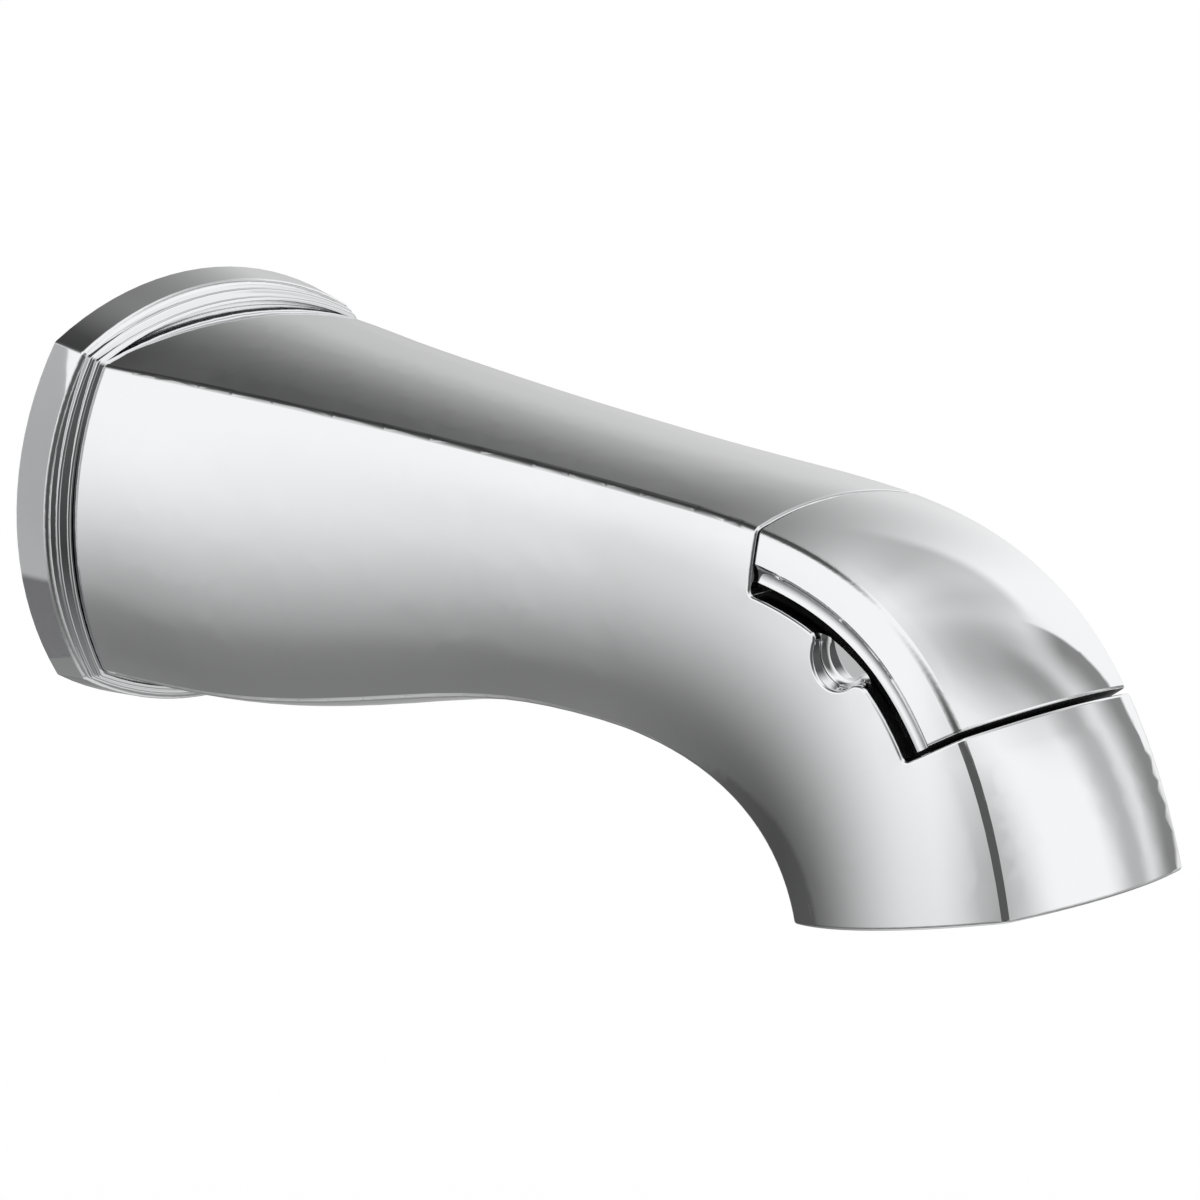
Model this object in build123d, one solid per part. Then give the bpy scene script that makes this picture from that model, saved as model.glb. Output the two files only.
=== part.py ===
"""Wall-mounted bath spout with a pull-up diverter cover.

Lengths are in millimetres and angles in degrees.  The wall is the plane X = 0, +X runs out over
the bath, +Z is up, and the inlet axis is the X axis.  The spout is symmetric about Y = 0.
"""
import os
from math import cos, radians, sin, sqrt

from build123d import *

# Flange against the wall
FLANGE_CHORD = 51.3       # straight distance from corner to corner, at the wall
FLANGE_RISE = 7.3         # how far each side bows out past that line
FLANGE_BAND = 6.3         # depth of the plain band
FLANGE_DRAFT = 0.65       # how far the band leans in on each side
FLANGE_CORNER = 1.2
BAND_EDGE = 0.8           # round on the band's front edge
BEAD_COUNT = 2
BEAD_DEPTH = 1.3          # each bead stands this far in front of the last
BEAD_STEP = 0.36          # and this far inside it at the corners
BEAD_RISE_STEP = 0.67     # and loses this much of its bow
BEAD_EDGE = 0.4
LEDGE_LIP = 0.6           # wall left round the sunk ledge
LEDGE_SINK = 0.9

# Body: two rails in the XZ plane, from the wall to the waist and round the bend to the outlet
BODY_START = 10.0
TOP_AT_WALL = 23.7
BOTTOM_AT_WALL = -23.3
BOTTOM_LEAVE = 48.0       # reach of the curve's handle at the wall
BOTTOM_ARRIVE = 41.0      # and at the waist
WAIST_X = 112.0
TOP_AT_WAIST = 26.1
BOTTOM_AT_WAIST = -7.5
TOP_LEAVE = 31.4          # handles of the bend's outer rail
TOP_ARRIVE = 46.0
TOP_END_ANGLE = -74.0
BEND_LEAVE = 16.0         # handles of the bend's inner rail
BEND_ARRIVE = 15.0
BEND_END_ANGLE = -68.5
OUTLET_FRONT_X = 187.4
OUTLET_FRONT_Z = -13.9
OUTLET_REAR_X = 149.5
OUTLET_REAR_Z = -24.8
HALF_WIDTH = (23.8, 14.16, 16.5)   # at the wall, the waist and the outlet
TOP_RISE = (4.8, 2.0, 3.5)         # bow of the upper and lower sides there
SIDE_RISE = (5.5, 3.3, 4.35)       # bow of the left and right sides there
FLARE = 1.8               # how quickly the wall end narrows
SWELL = 1.6               # how slowly the outlet end widens
BODY_CORNER = 1.4
WALL = 3.5
OUTLET_EDGE = 0.5
RUN_STEPS = 6
BEND_STEPS = 12

# Slot in the body for the cover
COVER_REAR_X = 138.0      # where the slot's rear face meets the upper edge line
COVER_REAR_LEAN = 10.0    # that face leans back by this angle
NOZZLE_EDGE_X = 177.3     # where the slot's front face meets the upper edge line
NOZZLE_EDGE_RISE = 33.0   # that face rises forward at this angle
POCKET_DEPTH = 8.7        # floor of the slot below the upper edge line
POCKET_CORNER = 1.0
POCKET_FLOOR = 2.5
RIM_EDGE = 0.45
SCALLOP_X = 162.3         # place of the finger scallop along the upper edge line
SCALLOP_RADIUS = 4.4
SCALLOP_DEPTH = 2.0
SCALLOP_FRONT_BLEND = 2.5
SCALLOP_REAR_BLEND = 1.0
SCALLOP_ROUND = 1.2       # round at the foot of the scallop's wall

# Diverter cover
COVER_REAR_GAP = 0.45
COVER_FRONT_GAP = 1.6
COVER_WALL = 2.8
SKIRT_DEPTH = 7.0
BAND_DEPTH = 4.0          # flush band above the grip flute
FLUTE_RADIUS = 2.2
FLUTE_DEPTH = 1.1
COVER_EDGE = 0.3
LIFT = 12.0

# Lift stem, its bush and the gate
STEM_X = 159.0
STEM_DIAMETER = 5.0
STEM_THREAD = 4.6         # length screwed into the cover
STEM_FIT = 0.05           # radial running clearance
REST_GAP = 0.3            # cover above the bush when down
BOSS_DIAMETER = 13.0
BOSS_TOP = 15.4
COVER_BOSS = 10.0
BUSH_DIAMETER = 9.5
BUSH_HEAD = 10.5
BUSH_HEAD_DEPTH = 1.2
STEM_RING = 1.2           # thickness of the seal ring round the stem
CLIP_DIAMETER = 8.4
CLIP_DEPTH = 0.8
CLIP_GROOVE = 4.0
CLIP_OPENING = 3.6
GATE_WIDTH = 15.0
GATE_HEIGHT = 12.5
GATE_DEPTH = 2.5
GATE_FIT = 0.3
SEAL_DEPTH = 1.5
SEAL_MARGIN = 0.5
LUG_WIDTH = 9.0
LUG_HEIGHT = 8.0
NUT_ACROSS = 8.0
NUT_DEPTH = 3.0
STEM_TIP = 0.8            # stem left showing below the nut
GUIDE_WALL = 2.0
GUIDE_LIP = 1.3

# Seat wall and waterway
SEAT_X = 149.0
SEAT_WALL = 3.0
PORT_BORE = 10.0
WATERWAY_Z = 5.0
TUBE_DIAMETER = 16.0
TUBE_WALL = 1.5
TUBE_BEND = 60.0
TUBE_LEVEL = 20.0         # level run before the tube climbs
TUBE_CLIMB = 40.0
SOCKET_FIT = 0.1
SOCKET_DEPTH = 9.5
COLLAR_DIAMETER = 21.5
RING_THICKNESS = 1.6
RING_FIT = 0.05
GROOVE_WIDTH = 2.4
GROOVE_BACK = 3.0         # socket wall in front of the ring's groove

# Inlet adapter
ADAPTER_BACK = 5.0        # thread mouth behind the wall plane
ADAPTER_DIAMETER = 25.5
ADAPTER_NOSE = 22.0       # diameter in front of the ears
INLET_BORE = 18.26        # drilled for a half-inch taper pipe thread
INLET_DEPTH = 16.0
THROAT_LENGTH = 3.0
EAR_WIDTH = 10.0
EAR_DEPTH = 4.0
EAR_FROM_BACK = 13.0
SCREW_DIAMETER = 4.0
SCREW_HOLE = 4.4
SCREW_LENGTH = 16.0
SCREW_HEAD = 7.6
SCREW_HEAD_DEPTH = 2.6
HEAD_CLEARANCE = 0.45     # screw heads clear the hub by this much
SCREW_TAP = 0.05          # radial clearance of the tapped hole
SCREW_SLOT = 1.2
POST_DIAMETER = 9.0
POST_LENGTH = 40.0
WEB = 3.0

# Wall gasket
GASKET_EDGE = 2.4         # flange left outside the gasket
GASKET_WIDTH = 2.4
GASKET_DEPTH = 2.5

REACH = 80.0              # longer than the spout is wide, for cutting tools
CLOSE = 0.001             # closer than this counts as touching
STRIP_STEPS = 8           # points along the slot's floor line
FLUTE_STEPS = 6
OVERRUN = 0.04            # how far the flutes run past the cover's ends, as a place on the bend
SEARCH_STEPS = 40
SIDES = (-1, 1)

flange_half = FLANGE_CHORD / 2
band_half = flange_half - FLANGE_DRAFT
band_rise = FLANGE_RISE * band_half / flange_half
ear_front = ADAPTER_BACK + EAR_FROM_BACK + EAR_DEPTH
ear_spacing = ADAPTER_DIAMETER + SCREW_HEAD + 2 * HEAD_CLEARANCE
throat_end = ADAPTER_BACK + INLET_DEPTH + THROAT_LENGTH
adapter_front = throat_end + SOCKET_DEPTH
seat_back = SEAT_X - SEAT_WALL
bush_top = BOSS_TOP + BUSH_HEAD_DEPTH
cover_boss_bottom = bush_top + REST_GAP
stem_top = cover_boss_bottom + STEM_THREAD
gate_z = WATERWAY_Z - LIFT
lug_top = gate_z + LUG_HEIGHT / 2
lug_bottom = gate_z - LUG_HEIGHT / 2
bush_bottom = lug_top + CLIP_DEPTH + LIFT + REST_GAP
stem_bottom = lug_bottom - NUT_DEPTH - STEM_TIP
seal_front = SEAT_X + GATE_FIT + SEAL_DEPTH
gate_front = seal_front + GATE_DEPTH
gate_top_lifted = WATERWAY_Z + GATE_HEIGHT / 2


def heading(angle):
    """Unit vector in the XZ plane, at an angle above +X."""
    return Vector(cos(radians(angle)), 0, sin(radians(angle)))


def swing(start, start_angle, leave, end, end_angle, arrive):
    """Smooth curve from one point and direction to another."""
    return Bezier(start, start + heading(start_angle) * leave, end - heading(end_angle) * arrive, end)


wall_top = Vector(BODY_START, 0, TOP_AT_WALL)
wall_bottom = Vector(BODY_START, 0, BOTTOM_AT_WALL)
waist_top = Vector(WAIST_X, 0, TOP_AT_WAIST)
waist_bottom = Vector(WAIST_X, 0, BOTTOM_AT_WAIST)
outlet_front = Vector(OUTLET_FRONT_X, 0, OUTLET_FRONT_Z)
outlet_rear = Vector(OUTLET_REAR_X, 0, OUTLET_REAR_Z)

top_run = Line(wall_top, waist_top)
top_slope = -90 + (waist_top - wall_top).get_angle(Vector(0, 0, -1))
top_bend = swing(waist_top, top_slope, TOP_LEAVE, outlet_front, TOP_END_ANGLE, TOP_ARRIVE)
bottom_run = swing(wall_bottom, 0, BOTTOM_LEAVE, waist_bottom, 0, BOTTOM_ARRIVE)
bottom_bend = swing(waist_bottom, 0, BEND_LEAVE, outlet_rear, BEND_END_ANGLE, BEND_ARRIVE)


def rails(place):
    """Upper and lower rail points; place is 0 at the wall, 1 at the waist, 2 at the outlet."""
    if place <= 1:
        return top_run @ place, bottom_run @ place
    return top_bend @ (place - 1), bottom_bend @ (place - 1)


def along(place, values):
    """A size that eases from its wall value to its waist value to its outlet value."""
    wall_value, waist_value, outlet_value = values
    if place <= 1:
        return waist_value + (wall_value - waist_value) * (1 - place) ** FLARE
    return waist_value + (outlet_value - waist_value) * (place - 1) ** SWELL


def upright(place):
    """Unit vector from the lower rail to the upper rail."""
    upper, lower = rails(place)
    return (upper - lower).normalized()


def half_height(place):
    upper, lower = rails(place)
    return (upper - lower).length / 2


def section_plane(place):
    upper, lower = rails(place)
    forward = Vector(0, 1, 0).cross(upright(place))
    return Plane(origin=(upper + lower) / 2, x_dir=(0, 1, 0), z_dir=forward)


def bowed(half_width, half_tall, top_rise, side_rise, corner):
    """Four-sided face whose sides bow outwards, with small round corners."""
    top = ThreePointArc((-half_width, half_tall), (0, half_tall + top_rise), (half_width, half_tall))
    right = ThreePointArc((half_width, half_tall), (half_width + side_rise, 0), (half_width, -half_tall))
    bottom = ThreePointArc((half_width, -half_tall), (0, -half_tall - top_rise), (-half_width, -half_tall))
    left = ThreePointArc((-half_width, -half_tall), (-half_width - side_rise, 0), (-half_width, half_tall))
    face = make_face([top, right, bottom, left])
    return fillet(face.vertices(), corner)


def section(place, inset):
    """The body's cross-section, drawn in by an even inset."""
    width = along(place, HALF_WIDTH) - inset
    tall = half_height(place) - inset
    face = bowed(width, tall, along(place, TOP_RISE), along(place, SIDE_RISE), BODY_CORNER)
    return section_plane(place) * face


def places():
    run = [step / RUN_STEPS for step in range(RUN_STEPS)]
    bend = [1 + step / BEND_STEPS for step in range(BEND_STEPS + 1)]
    return run + bend


def body_form(inset):
    """The whole tapered, bent form from the wall plane to the outlet."""
    form = loft([section(place, inset) for place in places()])
    root = extrude(section(0, inset), amount=-BODY_START)
    return form + root


def bend_place(x):
    """Place on the bend whose upper edge line is at this X."""
    low, high = 0.0, 1.0
    for _ in range(SEARCH_STEPS):
        middle = (low + high) / 2
        if (top_bend @ middle).X < x:
            low = middle
        else:
            high = middle
    return 1 + low


rear_place = bend_place(COVER_REAR_X)
front_place = bend_place(NOZZLE_EDGE_X)
scallop_place = bend_place(SCALLOP_X)


def below_edge(place, depth):
    """Point in the XZ plane below the upper edge line."""
    upper, _ = rails(place)
    return upper - upright(place) * depth


def flat(point):
    """XZ point as sketch coordinates on Plane.XZ."""
    return (point.X, point.Z)


def side_reach(place, height):
    """Half-width of the outer form at a height above the section's middle."""
    rise = along(place, SIDE_RISE)
    tall = half_height(place)
    radius = (tall * tall + rise * rise) / (2 * rise)
    return along(place, HALF_WIDTH) + rise - radius + sqrt(radius * radius - height * height)


scallop_middle = below_edge(scallop_place, POCKET_DEPTH)
scallop_floor = side_reach(scallop_place, half_height(scallop_place) - POCKET_DEPTH) - SCALLOP_DEPTH


def strip(depth, rear_gap, front_gap):
    """Side view of the slot or cover: above a line below the edge, between the two end faces."""
    marks = [1 + step / STRIP_STEPS for step in range(STRIP_STEPS + 1)]
    lower = Spline([flat(below_edge(mark, depth)) for mark in marks])
    start = lower @ 0
    end = lower @ 1
    peak = (end.X + REACH, REACH)
    back = (start.X, REACH)
    region = make_face([lower, Line(end, peak), Line(peak, back), Line(back, start)])
    behind = Pos(*flat(rails(rear_place)[0])) * Rot(0, 0, COVER_REAR_LEAN)
    behind = behind * Pos(rear_gap - REACH, 0) * Rectangle(2 * REACH, 4 * REACH)
    below = Pos(*flat(rails(front_place)[0])) * Rot(0, 0, NOZZLE_EDGE_RISE)
    below = below * Pos(0, front_gap - REACH) * Rectangle(4 * REACH, 2 * REACH)
    return region - behind - below


def block(sketch):
    """Side view drawn right through the spout."""
    return extrude(Plane.XZ.offset(-REACH / 2) * sketch, amount=REACH)


def across(x):
    """Plane square to the inlet axis."""
    return Plane(origin=(x, 0, 0), x_dir=(0, 1, 0), z_dir=(1, 0, 0))


def rod(diameter, start, end, y=0.0, z=0.0):
    """Cylinder along X."""
    return extrude(across(start) * Pos(y, z) * Circle(diameter / 2), amount=end - start)


def pillar(diameter, bottom, top):
    """Cylinder along the stem's axis."""
    return extrude(Plane.XY.offset(bottom) * Pos(STEM_X, 0) * Circle(diameter / 2), amount=top - bottom)


def span(x, y, z):
    """Box between pairs of limits."""
    box = Box(x[1] - x[0], y[1] - y[0], z[1] - z[0])
    return Pos((x[0] + x[1]) / 2, (y[0] + y[1]) / 2, (z[0] + z[1]) / 2) * box


def flange_face(half, rise):
    return bowed(half, half, rise, rise, FLANGE_CORNER)


def front_edges(solid):
    return solid.faces().sort_by(Axis.X)[-1].edges()


def flange():
    """Drafted band with two beads stepped in front of it and a ledge sunk inside the last."""
    back = across(0) * flange_face(flange_half, FLANGE_RISE)
    front = across(FLANGE_BAND) * flange_face(band_half, band_rise)
    band = loft([back, front])
    solid = fillet(front_edges(band), BAND_EDGE)
    for bead in range(1, BEAD_COUNT + 1):
        half = band_half - bead * BEAD_STEP
        rise = band_rise - bead * BEAD_RISE_STEP
        depth = FLANGE_BAND + bead * BEAD_DEPTH
        step = extrude(across(0) * flange_face(half, rise), amount=depth)
        solid += fillet(front_edges(step), BEAD_EDGE)
    solid -= extrude(across(depth) * flange_face(half - LEDGE_LIP, rise), amount=-LEDGE_SINK)
    return solid


def gasket_form():
    outer = flange_half - GASKET_EDGE
    inner = outer - GASKET_WIDTH
    ring = flange_face(outer, FLANGE_RISE) - flange_face(inner, FLANGE_RISE)
    return extrude(across(0) * ring, amount=GASKET_DEPTH)


def scallop_dish(side):
    """Blind round recess in one side of the body, centred on the slot's lower edge."""
    middle = (scallop_middle.X, side * scallop_floor, scallop_middle.Z)
    floor = Plane(origin=middle, x_dir=(1, 0, 0), z_dir=(0, side, 0))
    return extrude(floor * Circle(SCALLOP_RADIUS), amount=REACH / 2 - scallop_floor)


def scallop_joins(slot):
    """Edges where the scallops break out of the slot's floor."""
    crossing = [edge for edge in slot.edges() if abs((edge % 0.5).Y) > 1 - CLOSE]
    return [edge for edge in crossing if edge.length < REACH / 2]


def slot_form():
    """Space cut out of the body for the cover, with a finger scallop on each side."""
    slot = block(strip(POCKET_DEPTH, 0, 0))
    corners = slot.edges().filter_by(Axis.Y).sort_by(Axis.Z)[:2]
    slot = fillet(corners, POCKET_CORNER)
    for side in SIDES:
        slot += scallop_dish(side)
    ahead = [edge for edge in scallop_joins(slot) if (edge @ 0.5).X > scallop_middle.X]
    slot = fillet(ahead, SCALLOP_FRONT_BLEND)
    slot = fillet(scallop_joins(slot), SCALLOP_REAR_BLEND)
    rounds = slot.edges().filter_by(GeomType.CIRCLE)
    feet = [edge for edge in rounds if abs((edge @ 0.5).Y) < scallop_floor + CLOSE]
    return fillet(feet, SCALLOP_ROUND)


def post(side):
    """Screw post for the adapter, tied to the side wall by a web that follows the taper."""
    y = side * ear_spacing / 2
    end = ear_front + POST_LENGTH
    near = side * (side_reach((ear_front - BODY_START) / (WAIST_X - BODY_START), 0) - WALL / 2)
    far = side * (side_reach((end - BODY_START) / (WAIST_X - BODY_START), 0) - WALL / 2)
    web = make_face(Polyline((ear_front, y), (ear_front, near), (end, far), (end, y), close=True))
    return rod(POST_DIAMETER, ear_front, end, y) + extrude(Pos(0, 0, -WEB / 2) * web, amount=WEB)


def guide(side):
    """Rail with a lip that holds one edge of the gate to its seat."""
    inner = GATE_WIDTH / 2 + GATE_FIT
    outer = inner + GUIDE_WALL
    lip_back = gate_front + GATE_FIT
    lip_front = lip_back + GUIDE_WALL
    z = (gate_z - GATE_HEIGHT / 2 - GATE_FIT, REACH / 2)
    rail = span((SEAT_X, lip_front), sorted((side * inner, side * outer)), z)
    lip = span((lip_back, lip_front), sorted((side * (inner - GUIDE_LIP), side * outer)), z)
    return rail + lip


def boss_form():
    return pillar(BOSS_DIAMETER, gate_top_lifted + GATE_FIT, BOSS_TOP)


def cast_inside():
    """What the casting keeps inside its hollow."""
    kept = block(strip(POCKET_DEPTH + POCKET_FLOOR, -POCKET_FLOOR, -POCKET_FLOOR))
    kept += span((seat_back, SEAT_X), (-REACH / 2, REACH / 2), (-REACH / 2, REACH / 2))
    kept += rod(COLLAR_DIAMETER, seat_back - SOCKET_DEPTH, seat_back, 0, WATERWAY_Z)
    kept += boss_form()
    for side in SIDES:
        kept += guide(side)
        kept += post(side)
    return kept


def hollow():
    """Space inside the casting, open at the wall and at the outlet."""
    space = body_form(WALL) + extrude(section(2, WALL), amount=WALL)
    return space - cast_inside()


def socket(bottom, mouth, z):
    """Tube socket with a groove for its seal ring; the mouth is its open end."""
    groove = mouth + GROOVE_BACK if mouth < bottom else mouth - GROOVE_BACK - GROOVE_WIDTH
    bore = rod(TUBE_DIAMETER + 2 * SOCKET_FIT, min(bottom, mouth), max(bottom, mouth), 0, z)
    ring_space = TUBE_DIAMETER + 2 * RING_THICKNESS + 4 * RING_FIT
    return bore + rod(ring_space, groove, groove + GROOVE_WIDTH, 0, z)


def ring_middle(mouth, inward):
    """X of the seal ring in a socket."""
    return mouth + inward * (GROOVE_BACK + GROOVE_WIDTH / 2)


def on_surface(edge, solid):
    """True for an edge whose middle lies on the outside of a solid."""
    middle = Vertex(edge @ 0.5)
    return min(face.distance_to(middle) for face in solid.faces()) < CLOSE


def rim(solid, first, second):
    """Edges of a solid where two of the forms that made it meet."""
    return [edge for edge in solid.edges() if on_surface(edge, first) and on_surface(edge, second)]


def spout_body():
    """Cast body: flange, tapered bent shell, slot for the cover, seat wall, guides and posts."""
    outer = body_form(0)
    mouth = outer.faces().sort_by_distance(section_plane(2).origin)[0]
    outer = fillet(mouth.edges(), OUTLET_EDGE)
    slot = slot_form()
    shell = outer - slot
    shell = fillet(rim(shell, outer, slot), RIM_EDGE)
    solid = shell + flange() - hollow() + boss_form() - gasket_form()
    solid -= socket(seat_back, seat_back - SOCKET_DEPTH, WATERWAY_Z)
    solid -= rod(PORT_BORE, seat_back, SEAT_X, 0, WATERWAY_Z)
    solid -= pillar(BUSH_DIAMETER, lug_top, BOSS_TOP)
    for side in SIDES:
        y = side * ear_spacing / 2
        solid -= rod(SCREW_DIAMETER + 2 * SCREW_TAP, ear_front, ear_front + SCREW_LENGTH, y)
    return solid


def flute(side):
    """Round-bottomed groove along one skirt of the cover, for the fingers."""
    half_chord = sqrt(FLUTE_RADIUS ** 2 - (FLUTE_RADIUS - FLUTE_DEPTH) ** 2)
    first = rear_place - OVERRUN
    step = (front_place + OVERRUN - first) / FLUTE_STEPS
    rings = []
    for index in range(FLUTE_STEPS + 1):
        place = first + index * step
        height = half_height(place) - BAND_DEPTH - half_chord
        y = side * (side_reach(place, height) + FLUTE_RADIUS - FLUTE_DEPTH)
        rings.append(section_plane(place) * Pos(y, height) * Circle(FLUTE_RADIUS))
    return loft(rings)


def diverter_cover():
    """Lifting cap, flush with the body, with a flute along each skirt and a boss for the stem."""
    outer = body_form(0)
    piece = block(strip(SKIRT_DEPTH, COVER_REAR_GAP, COVER_FRONT_GAP))
    cap = outer & piece
    cap = fillet(rim(cap, outer, piece), COVER_EDGE)
    rear = COVER_REAR_GAP + COVER_WALL
    front = COVER_FRONT_GAP + COVER_WALL
    inside = body_form(COVER_WALL) & block(strip(2 * POCKET_DEPTH, rear, front))
    cap -= inside - pillar(COVER_BOSS, cover_boss_bottom, REACH)
    for side in SIDES:
        cap -= flute(side)
    return cap - pillar(STEM_DIAMETER, cover_boss_bottom, stem_top)


def lift_stem():
    """Rod from the cover down to the gate, grooved for the clip."""
    stem = pillar(STEM_DIAMETER, stem_bottom, stem_top)
    groove = pillar(2 * STEM_DIAMETER, lug_top, lug_top + CLIP_DEPTH)
    return stem - (groove - pillar(CLIP_GROOVE, lug_top, lug_top + CLIP_DEPTH))


def stem_clip():
    """Open ring in the stem's groove; it stops the lift against the bush."""
    clip = pillar(CLIP_DIAMETER, lug_top, lug_top + CLIP_DEPTH)
    clip -= pillar(CLIP_GROOVE, lug_top, lug_top + CLIP_DEPTH)
    opening = span((STEM_X, STEM_X + CLIP_DIAMETER), (-CLIP_OPENING / 2, CLIP_OPENING / 2),
                   (lug_top, lug_top + CLIP_DEPTH))
    return clip - opening


def ring_middle_z():
    return (bush_bottom + BOSS_TOP) / 2


def stem_bush():
    """Headed bush that guides the stem, with a groove for its seal ring."""
    bush = pillar(BUSH_DIAMETER, bush_bottom, BOSS_TOP) + pillar(BUSH_HEAD, BOSS_TOP, bush_top)
    bore = STEM_DIAMETER + 2 * STEM_FIT
    bush -= pillar(bore, bush_bottom, bush_top)
    half = STEM_RING / 2
    bush -= pillar(bore + 2 * STEM_RING, ring_middle_z() - half, ring_middle_z() + half)
    return bush


def stem_seal():
    major = STEM_DIAMETER / 2 + STEM_FIT + STEM_RING / 2
    return Pos(STEM_X, 0, ring_middle_z()) * Torus(major, STEM_RING / 2)


def gate_plate():
    """Sliding plate with a lug bored for the stem."""
    half = GATE_WIDTH / 2
    tall = GATE_HEIGHT / 2
    plate = span((seal_front, gate_front), (-half, half), (gate_z - tall, gate_z + tall))
    lug = span((gate_front, STEM_X), (-LUG_WIDTH / 2, LUG_WIDTH / 2), (lug_bottom, lug_top))
    lug += pillar(LUG_WIDTH, lug_bottom, lug_top)
    return plate + lug - pillar(STEM_DIAMETER, lug_bottom, lug_top)


def gate_seal():
    """Rubber facing on the gate."""
    half = GATE_WIDTH / 2 - SEAL_MARGIN
    tall = GATE_HEIGHT / 2 - SEAL_MARGIN
    return span((seal_front - SEAL_DEPTH, seal_front), (-half, half), (gate_z - tall, gate_z + tall))


def gate_nut():
    hexagon = RegularPolygon(NUT_ACROSS / 2, 6, major_radius=False)
    nut = extrude(Plane.XY.offset(lug_bottom - NUT_DEPTH) * Pos(STEM_X, 0) * hexagon, amount=NUT_DEPTH)
    return nut - pillar(STEM_DIAMETER, lug_bottom - NUT_DEPTH, lug_bottom)


def waterway_tube():
    """Tube from the adapter up to the seat wall."""
    points = [(throat_end, 0, 0), (throat_end + TUBE_LEVEL, 0, 0)]
    points += [(throat_end + TUBE_LEVEL + TUBE_CLIMB, 0, WATERWAY_Z), (seat_back, 0, WATERWAY_Z)]
    path = FilletPolyline(*points, radius=TUBE_BEND)
    ring = Circle(TUBE_DIAMETER / 2) - Circle(TUBE_DIAMETER / 2 - TUBE_WALL)
    return sweep(across(throat_end) * ring, path=path)


def tube_seals():
    """Seal rings at the two ends of the tube."""
    ring = Torus(TUBE_DIAMETER / 2 + RING_FIT + RING_THICKNESS / 2, RING_THICKNESS / 2)
    rear = across(ring_middle(adapter_front, -1)) * ring
    front = across(ring_middle(seat_back - SOCKET_DEPTH, 1)) * Pos(0, WATERWAY_Z) * ring
    return Compound(children=[rear, front])


def inlet_adapter():
    """Hub with the pipe thread behind, the tube socket in front and two ears for its screws."""
    hub = rod(ADAPTER_DIAMETER, ADAPTER_BACK, ear_front) + rod(ADAPTER_NOSE, ear_front, adapter_front)
    ears = across(ear_front - EAR_DEPTH) * SlotCenterToCenter(ear_spacing, EAR_WIDTH)
    hub += extrude(ears, amount=EAR_DEPTH)
    hub -= rod(INLET_BORE, ADAPTER_BACK, ADAPTER_BACK + INLET_DEPTH)
    hub -= rod(TUBE_DIAMETER - 2 * TUBE_WALL, ADAPTER_BACK + INLET_DEPTH, throat_end)
    hub -= socket(throat_end, adapter_front, 0)
    for side in SIDES:
        hub -= rod(SCREW_HOLE, ear_front - EAR_DEPTH, ear_front, side * ear_spacing / 2)
    return hub


def adapter_screw(side):
    y = side * ear_spacing / 2
    seat = ear_front - EAR_DEPTH
    screw = rod(SCREW_DIAMETER, seat, seat + SCREW_LENGTH, y)
    head = rod(SCREW_HEAD, seat - SCREW_HEAD_DEPTH, seat, y)
    slot = span((seat - SCREW_HEAD_DEPTH, seat - SCREW_HEAD_DEPTH + SCREW_SLOT),
                (y - SCREW_SLOT / 2, y + SCREW_SLOT / 2), (-SCREW_HEAD, SCREW_HEAD))
    return screw + head - slot


def adapter_screws():
    return Compound(children=[adapter_screw(side) for side in SIDES])


NODES = {
    "spout_body": spout_body,
    "diverter_cover": diverter_cover,
    "lift_stem": lift_stem,
    "stem_clip": stem_clip,
    "stem_bush": stem_bush,
    "stem_seal": stem_seal,
    "gate_plate": gate_plate,
    "gate_seal": gate_seal,
    "gate_nut": gate_nut,
    "waterway_tube": waterway_tube,
    "tube_seals": tube_seals,
    "inlet_adapter": inlet_adapter,
    "adapter_screws": adapter_screws,
    "wall_gasket": gasket_form,
}

os.makedirs("parts", exist_ok=True)
for name, make in NODES.items():
    export_step(make(), f"parts/{name}.step")
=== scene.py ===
"""Chrome bath spout in a white studio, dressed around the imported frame."""
from math import cos, radians, sin

import bpy
from mathutils import Matrix, Vector


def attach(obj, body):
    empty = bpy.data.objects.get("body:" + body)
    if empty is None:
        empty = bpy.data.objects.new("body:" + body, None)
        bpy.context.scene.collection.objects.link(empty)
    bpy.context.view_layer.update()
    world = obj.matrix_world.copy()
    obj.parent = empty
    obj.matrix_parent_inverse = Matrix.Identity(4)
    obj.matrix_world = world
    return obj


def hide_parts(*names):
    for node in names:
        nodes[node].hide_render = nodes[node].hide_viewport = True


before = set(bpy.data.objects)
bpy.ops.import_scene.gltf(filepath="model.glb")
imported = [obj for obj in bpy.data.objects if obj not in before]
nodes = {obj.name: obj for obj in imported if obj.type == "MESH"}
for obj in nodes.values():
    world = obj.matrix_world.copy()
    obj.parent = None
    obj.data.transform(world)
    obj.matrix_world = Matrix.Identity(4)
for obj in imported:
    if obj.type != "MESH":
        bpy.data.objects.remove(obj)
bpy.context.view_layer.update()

# Camera, from the photograph's view: angles in degrees, places in metres, lens and sensor in millimetres
CAMERA_AZIMUTH = 47.68
CAMERA_ELEVATION = 16.62
CAMERA_ROLL = 1.30
CAMERA_PLACE = (0.6255, -0.4857, 0.2184)
CAMERA_NEAREST = 0.01              # nothing closer than this is drawn
LENS = 162.16
SENSOR = 36.0

# Floor
FLOOR_Z = -0.30
FLOOR_SIZE = 6.0
FLOOR_COLOUR = (0.8, 0.8, 0.8, 1)
FLOOR_GLOW = 0.2                   # makes up the rest of plain white, so that only the shadow shows
WHITE = (1, 1, 1, 1)

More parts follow.
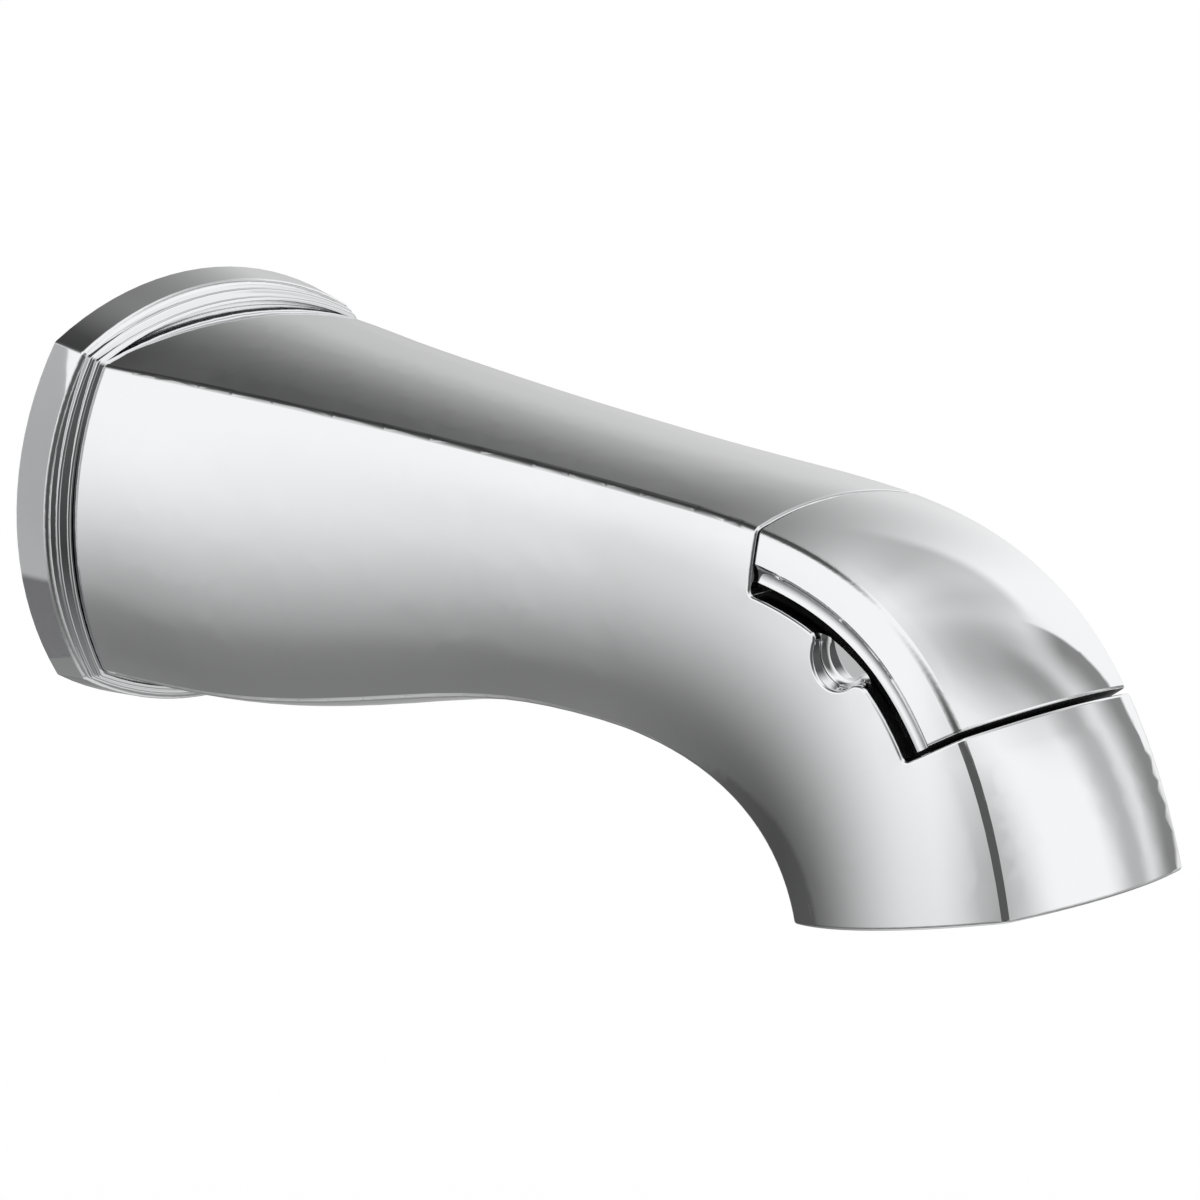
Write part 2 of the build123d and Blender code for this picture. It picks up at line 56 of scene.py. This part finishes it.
# Studio that the chrome mirrors. Azimuths turn from the wall side, -X, towards -Y, in degrees.
BELOW = (-44, 8, 0.26)             # light falls to this level from the second elevation to the first
FLOOR_LIGHT = (-46, -68, 0.45)     # and comes back from the floor
PANELS = [                         # azimuth edges, elevation edges, level
    ((-60, -10, 8, 64), (-52, -26, 0, 14), 0.24),
    ((-30, -20, 11, 15), (-42, -36, -16, -10), 0.70),
    ((24, 40, 100, 120), (-90, -80, -36, -29), 0.84),
    ((-118, -98, -95, -93), (-30, -10, 30, 44), 0.26),
    ((-138, -122, -120, -110), (-30, -10, 34, 60), 0.50),
    ((-100, -80, -60, -40), (36, 42, 50, 80), 0.66),
]
SHADES = [                         # azimuth, elevation, dark radius, soft radius, level
    (-12, 28, 6, 56, 0.05),
    (20, 52, 10, 32, 0.12),
    (-122, 54, 4, 34, 0.45),
    (134, 8, 30, 66, 0.10),
]

# Two-tone grey card behind the wall plane, on the near side, which the flange's near band mirrors
CARD_Y = -0.060
CARD_Z = (-0.12, 0.055)            # its lower and upper edges
CARD_FAR = -0.12                   # its straight edge
CARD_NEAR = -0.011                 # its bowed edge, at the crown of the bow
CARD_CROWN = -0.004                # height of that crown
CARD_BOW = 5.6                     # times the square of the height from the crown, sets the edge back
CARD_STEPS = 24                    # straight stretches that make up the bow
CARD_TURN = -0.032                 # height at which its upper tone meets its lower one
CARD_SOFT = 0.002                  # and the distance above and below over which they blend
CARD_UPPER = (0.50, 0.50, 0.505, 1)
CARD_LOWER = (0.19, 0.19, 0.195, 1)

# Patches on a surface, as the noise values at which they begin and are full
EVEN_PATCHES = (0.3, 0.7)
SOME_PATCHES = (0.35, 0.7)
FEW_PATCHES = (0.45, 0.75)

# Chrome: polished plate, with painted shade that darkens it towards a dark grey where the surface is shut
# in.
# Each painted shade is how far the occlusion reaches, in metres, and the open shares at which it is full
# and gone.
PLATE = (0.90, 0.905, 0.915, 1)
# dark grey of the chrome's painted shade, and of the steel's worn patches
CASTING_AND_SHADE = (0.20, 0.20, 0.205, 1)
BODY_PAINTED_SHADE = (0.03, 0.12, 0.30)
COVER_PAINTED_SHADE = (0.03, 0.42, 0.74)
POLISH_SCALE = 60.0
POLISH_ROUGHNESS = (0.02, 0.045)
CASTING_SCALE = 1500.0
CASTING_ROUGHNESS = 0.5
CASTING_GRAIN = 0.5                # strength of the grain where the painted shade is full
CASTING_DEPTH = 0.0001

# Turned steel
STEEL = (0.62, 0.62, 0.60, 1)
STEEL_LINES = 900.0                # scale of the turning lines
STEEL_WAVER = 1.5                  # how much the lines stray
STEEL_BUMP = (0.15, 0.00005)       # their strength and depth
STEEL_WEAR = 400.0                 # scale of the worn patches
STEEL_DULL = 0.25                  # share of the casting's colour in them
STEEL_ROUGHNESS = (0.18, 0.32)

# Machined brass
BRASS = (0.76, 0.60, 0.32, 1)
BRASS_RINGS = 500.0                # scale of the machining rings
BRASS_WAVER = 0.8
BRASS_BUMP = (0.2, 0.00006)
BRASS_ROUGHNESS = (0.20, 0.42)
TARNISH = (0.40, 0.29, 0.13, 1)
TARNISH_SCALE = 140.0
TARNISH_DETAIL = 5.0
TARNISH_MOST = 0.55                # share of the tarnish's colour in the dullest patches

# Moulded plastic and rubber
ACETAL = (0.80, 0.79, 0.75, 1)
ACETAL_SHADE = (0.74, 0.72, 0.67, 1)
ACETAL_PATCHES = 120.0
ACETAL_ROUGHNESS = 0.38
ACETAL_GRAIN = 0.10
RUBBER = (0.030, 0.030, 0.030, 1)
RUBBER_DUST = (0.055, 0.054, 0.052, 1)
RUBBER_PATCHES = 250.0
RUBBER_ROUGHNESS = 0.62
RUBBER_GRAIN = 0.30
MOULD_UNEVEN = 0.08                # how far the roughness strays to either side
MOULD_FINER = 2                    # how much finer the patches of roughness are than those of colour
MOULD_SCALE = 4000.0               # scale of the grain
MOULD_DEPTH = 0.00005

# Foam
FOAM = (0.10, 0.10, 0.11, 1)
# painted shade in the middle of each cell, where a pit would be
FOAM_PIT_SHADE = (0.045, 0.045, 0.05, 1)
FOAM_SCALE = 1400.0
FOAM_PIT = (0.45, 0.15)            # distances from a cell's middle at which its painted pit shade begins and is full
FOAM_ROUGHNESS = 0.9

# Cover
COVER_AHEAD = Vector((0.541, 0, -0.841))  # from the cover towards the seam with the nozzle
SEAM_TAKE = 0.00085                # how much of the cover's front gap the drawn-out end takes up
SEAM_REACH = 0.012                 # length of the cover that is drawn out


def camera_axes():
    """Right, up and back directions of the photograph's view."""
    azimuth = radians(CAMERA_AZIMUTH)
    elevation = radians(CAMERA_ELEVATION)
    right = Vector((cos(azimuth), sin(azimuth), 0))
    back = Vector((sin(azimuth) * cos(elevation), -cos(azimuth) * cos(elevation), sin(elevation)))
    up = back.cross(right)
    roll = radians(CAMERA_ROLL)
    return right * cos(roll) + up * sin(roll), up * cos(roll) - right * sin(roll), back


def add_camera():
    """Camera at the photograph's place."""
    data = bpy.data.cameras.new("camera")
    data.lens = LENS
    data.sensor_width = SENSOR
    data.sensor_fit = "HORIZONTAL"
    data.clip_start = CAMERA_NEAREST
    camera = bpy.data.objects.new("camera", data)
    turn = Matrix(camera_axes()).transposed()
    camera.matrix_world = Matrix.Translation(CAMERA_PLACE) @ turn.to_4x4()
    bpy.context.collection.objects.link(camera)
    bpy.context.scene.camera = camera


class Nodes:
    """Adds and joins shader nodes in one tree."""

    COLOUR_INPUTS = (0, 6, 7)      # a mix node's sockets for the share and the two colours
    COLOUR_OUTPUT = 2

    def __init__(self, tree):
        self.tree = tree

    def add(self, kind, **settings):
        """A new node with its settings."""
        node = self.tree.nodes.new(kind)
        for name, value in settings.items():
            setattr(node, name, value)
        return node

    def join(self, value, socket):
        """Links an output to a socket, or sets a plain value on it."""
        if isinstance(value, bpy.types.NodeSocket):
            self.tree.links.new(value, socket)
        else:
            socket.default_value = value

    def split(self, vector):
        """The x, y and z of a vector."""
        node = self.add("ShaderNodeSeparateXYZ")
        self.join(vector, node.inputs[0])
        return node.outputs

    def math(self, operation, *values):
        """Result of a sum on sockets or plain numbers."""
        node = self.add("ShaderNodeMath", operation=operation)
        for value, socket in zip(values, node.inputs):
            self.join(value, socket)
        return node.outputs[0]

    def fade(self, value, start, end, low=0.0, high=1.0):
        """Smooth step from low at the start to high at the end."""
        node = self.add("ShaderNodeMapRange", interpolation_type="SMOOTHSTEP")
        for number, socket in zip((value, start, end, low, high), node.inputs):
            self.join(number, socket)
        return node.outputs["Result"]

    def band(self, value, edges):
        """Fades in between the first two edges and out between the last two."""
        first, second, third, fourth = edges
        return self.math("MULTIPLY", self.fade(value, first, second), self.fade(value, fourth, third))

    def mix(self, share, first, second):
        """Colour between two colours."""
        node = self.add("ShaderNodeMix", data_type="RGBA")
        for value, index in zip((share, first, second), self.COLOUR_INPUTS):
            self.join(value, node.inputs[index])
        return node.outputs[self.COLOUR_OUTPUT]

    def blend(self, share, first, second):
        """Number between two numbers."""
        node = self.add("ShaderNodeMix", data_type="FLOAT")
        self.join(share, node.inputs["Factor"])
        self.join(first, node.inputs["A"])
        self.join(second, node.inputs["B"])
        return node.outputs["Result"]

    def noise(self, place, scale, detail=3.0):
        """Soft random pattern."""
        node = self.add("ShaderNodeTexNoise")
        self.join(place, node.inputs["Vector"])
        self.join(scale, node.inputs["Scale"])
        self.join(detail, node.inputs["Detail"])
        return node.outputs["Fac"]

    def wave(self, place, scale, waver, **settings):
        """Lines or rings that stray a little."""
        node = self.add("ShaderNodeTexWave", **settings)
        self.join(place, node.inputs["Vector"])
        self.join(scale, node.inputs["Scale"])
        self.join(waver, node.inputs["Distortion"])
        return node.outputs["Fac"]

    def bump(self, height, strength, depth):
        """Surface direction, tilted as a relief would tilt it."""
        node = self.add("ShaderNodeBump")
        self.join(strength, node.inputs["Strength"])
        self.join(depth, node.inputs["Distance"])
        self.join(height, node.inputs["Height"])
        return node.outputs["Normal"]


def heading(azimuth, elevation):
    """Direction in the frame of an azimuth and elevation in the studio."""
    turn = radians(azimuth)
    rise = radians(elevation)
    return (-cos(turn) * cos(rise), -sin(turn) * cos(rise), sin(rise))


def darken(net, light, share, level):
    """Brings the light down to a level of itself where the share is one."""
    return net.math("MULTIPLY", light, net.math("MULTIPLY_ADD", share, level - 1, 1.0))


def room_light(net, elevation):
    """White room that is darker below, with light that comes back from the floor."""
    low, high, level = BELOW
    falling = net.fade(elevation, low, high, level, 1.0)
    high, low, level = FLOOR_LIGHT
    return net.math("ADD", falling, net.fade(elevation, high, low, 0.0, level))


def studio_light(net):
    """What the chrome sees in each direction: the room with soft grey cards in it."""
    direction = net.add("ShaderNodeTexCoord").outputs["Generated"]
    x, y, z = net.split(direction)
    turn = net.math("ARCTAN2", net.math("MULTIPLY", y, -1.0), net.math("MULTIPLY", x, -1.0))
    azimuth = net.math("DEGREES", turn)
    elevation = net.math("DEGREES", net.math("ARCSINE", z))
    light = room_light(net, elevation)
    for across, up, level in PANELS:
        share = net.math("MULTIPLY", net.band(azimuth, across), net.band(elevation, up))
        light = darken(net, light, share, level)
    for around, rise, inner, outer, level in SHADES:
        dot = net.add("ShaderNodeVectorMath", operation="DOT_PRODUCT")
        net.join(direction, dot.inputs[0])
        net.join(heading(around, rise), dot.inputs[1])
        angle = net.math("DEGREES", net.math("ARCCOSINE", dot.outputs["Value"]))
        light = darken(net, light, net.fade(angle, outer, inner), level)
    return light


def add_world():
    """White to the camera and to matt surfaces, and the studio's cards to what mirrors it."""
    world = bpy.data.worlds.new("studio")
    bpy.context.scene.world = world
    world.use_nodes = True
    net = Nodes(world.node_tree)
    world.node_tree.nodes.clear()
    mirrored = net.add("ShaderNodeLightPath").outputs["Is Glossy Ray"]
    background = net.add("ShaderNodeBackground")
    net.join(WHITE, background.inputs["Color"])
    net.join(net.blend(mirrored, 1.0, studio_light(net)), background.inputs["Strength"])
    output = net.add("ShaderNodeOutputWorld")
    net.join(background.outputs[0], output.inputs["Surface"])


def new_material(name):
    """A material with its node helper, its Principled shader and its surface position."""
    material = bpy.data.materials.new(name)
    material.use_nodes = True
    net = Nodes(material.node_tree)
    shader = material.node_tree.nodes["Principled BSDF"]
    place = net.add("ShaderNodeTexCoord").outputs["Object"]
    return material, net, shader, place


def make_matt(shader):
    """No shine at all."""
    shader.inputs["Roughness"].default_value = 1.0
    shader.inputs["Specular IOR Level"].default_value = 0.0


def add_sheet(name, corners, material):
    """One flat face with a material."""
    mesh = bpy.data.meshes.new(name)
    mesh.from_pydata(corners, [], [range(len(corners))])
    mesh.materials.append(material)
    sheet = bpy.data.objects.new(name, mesh)
    bpy.context.collection.objects.link(sheet)
    return sheet


def add_floor():
    """Pale floor that takes the shadow and isn't mirrored."""
    material, net, shader, _ = new_material("pale_floor")
    net.join(FLOOR_COLOUR, shader.inputs["Base Color"])
    net.join(WHITE, shader.inputs["Emission Color"])
    net.join(FLOOR_GLOW, shader.inputs["Emission Strength"])
    make_matt(shader)
    half = FLOOR_SIZE / 2
    outline = ((-half, -half), (half, -half), (half, half), (-half, half))
    floor = add_sheet("floor", [(x, y, FLOOR_Z) for x, y in outline], material)
    floor.visible_glossy = False


def card_outline():
    """Corners of the card: a straight far edge and a bowed near one."""
    low, high = CARD_Z
    corners = [(CARD_FAR, CARD_Y, high), (CARD_FAR, CARD_Y, low)]
    for step in range(CARD_STEPS + 1):
        z = low + (high - low) * step / CARD_STEPS
        corners.append((CARD_NEAR - CARD_BOW * (z - CARD_CROWN) ** 2, CARD_Y, z))
    return corners


def add_card():
    """Two-tone card that is seen only where it is mirrored."""
    material, net, shader, place = new_material("grey_card")
    raised = net.fade(net.split(place)["Z"], CARD_TURN - CARD_SOFT, CARD_TURN + CARD_SOFT)
    net.join(net.mix(raised, CARD_LOWER, CARD_UPPER), shader.inputs["Base Color"])
    make_matt(shader)
    card = add_sheet("card", card_outline(), material)
    card.visible_camera = False
    card.visible_diffuse = False
    card.visible_shadow = False


def set_surface(net, shader, colour, roughness, metallic=0.0):
    """What every material of the part sets."""
    net.join(colour, shader.inputs["Base Color"])
    net.join(roughness, shader.inputs["Roughness"])
    net.join(metallic, shader.inputs["Metallic"])


def chrome(name, reach, full_shade_open, no_shade_open):
    """Polished chrome plate with painted shade: dark grey, rough and grainy where the surface is shut in.
    """
    material, net, shader, place = new_material(name)
    shade_occlusion = net.add("ShaderNodeAmbientOcclusion")
    net.join(reach, shade_occlusion.inputs["Distance"])
    # painted shade: the colour goes to the dark grey where ambient occlusion finds the surface shut in
    unshaded = net.fade(shade_occlusion.outputs["AO"], full_shade_open, no_shade_open)
    polish = net.fade(net.noise(place, POLISH_SCALE), *EVEN_PATCHES, *POLISH_ROUGHNESS)
    roughness = net.blend(unshaded, CASTING_ROUGHNESS, polish)
    set_surface(net, shader, net.mix(unshaded, CASTING_AND_SHADE, PLATE), roughness, 1.0)
    grain = net.math("SUBTRACT", CASTING_GRAIN, net.math("MULTIPLY", unshaded, CASTING_GRAIN))
    net.join(net.bump(net.noise(place, CASTING_SCALE), grain, CASTING_DEPTH), shader.inputs["Normal"])
    return material


def stainless():
    """Turned steel, with fine lines across the stem's axis."""
    material, net, shader, place = new_material("stainless")
    worn = net.noise(place, STEEL_WEAR)
    colour = net.mix(net.fade(worn, *SOME_PATCHES, 0.0, STEEL_DULL), STEEL, CASTING_AND_SHADE)
    set_surface(net, shader, colour, net.fade(worn, *EVEN_PATCHES, *STEEL_ROUGHNESS), 1.0)
    lines = net.wave(place, STEEL_LINES, STEEL_WAVER, bands_direction="Z")
    net.join(net.bump(lines, *STEEL_BUMP), shader.inputs["Normal"])
    return material


def brass():
    """Machined brass with rings about the inlet's axis, dulled in patches."""
    material, net, shader, place = new_material("brass")
    patches = net.noise(place, TARNISH_SCALE, TARNISH_DETAIL)
    dull = net.fade(patches, *FEW_PATCHES, 0.0, TARNISH_MOST)
    roughness = net.fade(dull, 0.0, TARNISH_MOST, *BRASS_ROUGHNESS)
    set_surface(net, shader, net.mix(dull, BRASS, TARNISH), roughness, 1.0)
    rings = net.wave(place, BRASS_RINGS, BRASS_WAVER, wave_type="RINGS", rings_direction="X")
    net.join(net.bump(rings, *BRASS_BUMP), shader.inputs["Normal"])
    return material


def moulded(name, colour, other, scale, rough, grain):
    """Moulded plastic or rubber: two near colours in soft patches and a fine grain."""
    material, net, shader, place = new_material(name)
    tone = net.fade(net.noise(place, scale), *SOME_PATCHES)
    sheen = net.noise(place, scale * MOULD_FINER)
    roughness = net.fade(sheen, *EVEN_PATCHES, rough - MOULD_UNEVEN, rough + MOULD_UNEVEN)
    set_surface(net, shader, net.mix(tone, colour, other), roughness)
    net.join(net.bump(net.noise(place, MOULD_SCALE), grain, MOULD_DEPTH), shader.inputs["Normal"])
    return material


def acetal():
    """Natural acetal in two near whites."""
    return moulded("acetal", ACETAL, ACETAL_SHADE, ACETAL_PATCHES, ACETAL_ROUGHNESS, ACETAL_GRAIN)


def rubber():
    """Black rubber with a little dust."""
    return moulded("rubber", RUBBER, RUBBER_DUST, RUBBER_PATCHES, RUBBER_ROUGHNESS, RUBBER_GRAIN)


def foam():
    """Closed-cell foam: small round cells with painted shade, darker in their middles as pits would be.
    """
    material, net, shader, place = new_material("gasket")
    cells = net.add("ShaderNodeTexVoronoi")
    net.join(place, cells.inputs["Vector"])
    net.join(FOAM_SCALE, cells.inputs["Scale"])
    # painted shade: each cell darkens towards its middle, as a pit would
    pit_shade = net.fade(cells.outputs["Distance"], *FOAM_PIT)
    set_surface(net, shader, net.mix(pit_shade, FOAM, FOAM_PIT_SHADE), FOAM_ROUGHNESS)
    return material


def set_view():
    """Plain colours, as they are lit."""
    bpy.context.scene.view_settings.view_transform = "Standard"


def dress(material, *names):
    """Gives a material to the named pieces."""
    for name in names:
        nodes[name].data.materials.clear()
        nodes[name].data.materials.append(material)


def add_cover(material):
    """The cover with its front end drawn out, so that the seam is about as narrow as the photograph's."""
    mesh = nodes["diverter_cover"].data.copy()
    front = max(vertex.co.dot(COVER_AHEAD) for vertex in mesh.vertices)
    for vertex in mesh.vertices:
        share = max(0.0, 1 - (front - vertex.co.dot(COVER_AHEAD)) / SEAM_REACH)
        vertex.co += COVER_AHEAD * SEAM_TAKE * share ** 2
    mesh.materials.clear()
    mesh.materials.append(material)
    cover = bpy.data.objects.new("flush_cover", mesh)
    bpy.context.collection.objects.link(cover)
    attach(cover, "diverter")
    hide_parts("diverter_cover")


add_camera()
add_world()
add_floor()
add_card()
set_view()
dress(chrome("chrome_body", *BODY_PAINTED_SHADE), "spout_body")
add_cover(chrome("chrome_cover", *COVER_PAINTED_SHADE))
dress(stainless(), "lift_stem", "stem_clip", "gate_nut", "adapter_screws")
dress(brass(), "waterway_tube", "inlet_adapter")
dress(acetal(), "stem_bush", "gate_plate")
dress(rubber(), "stem_seal", "gate_seal", "tube_seals")
dress(foam(), "wall_gasket")
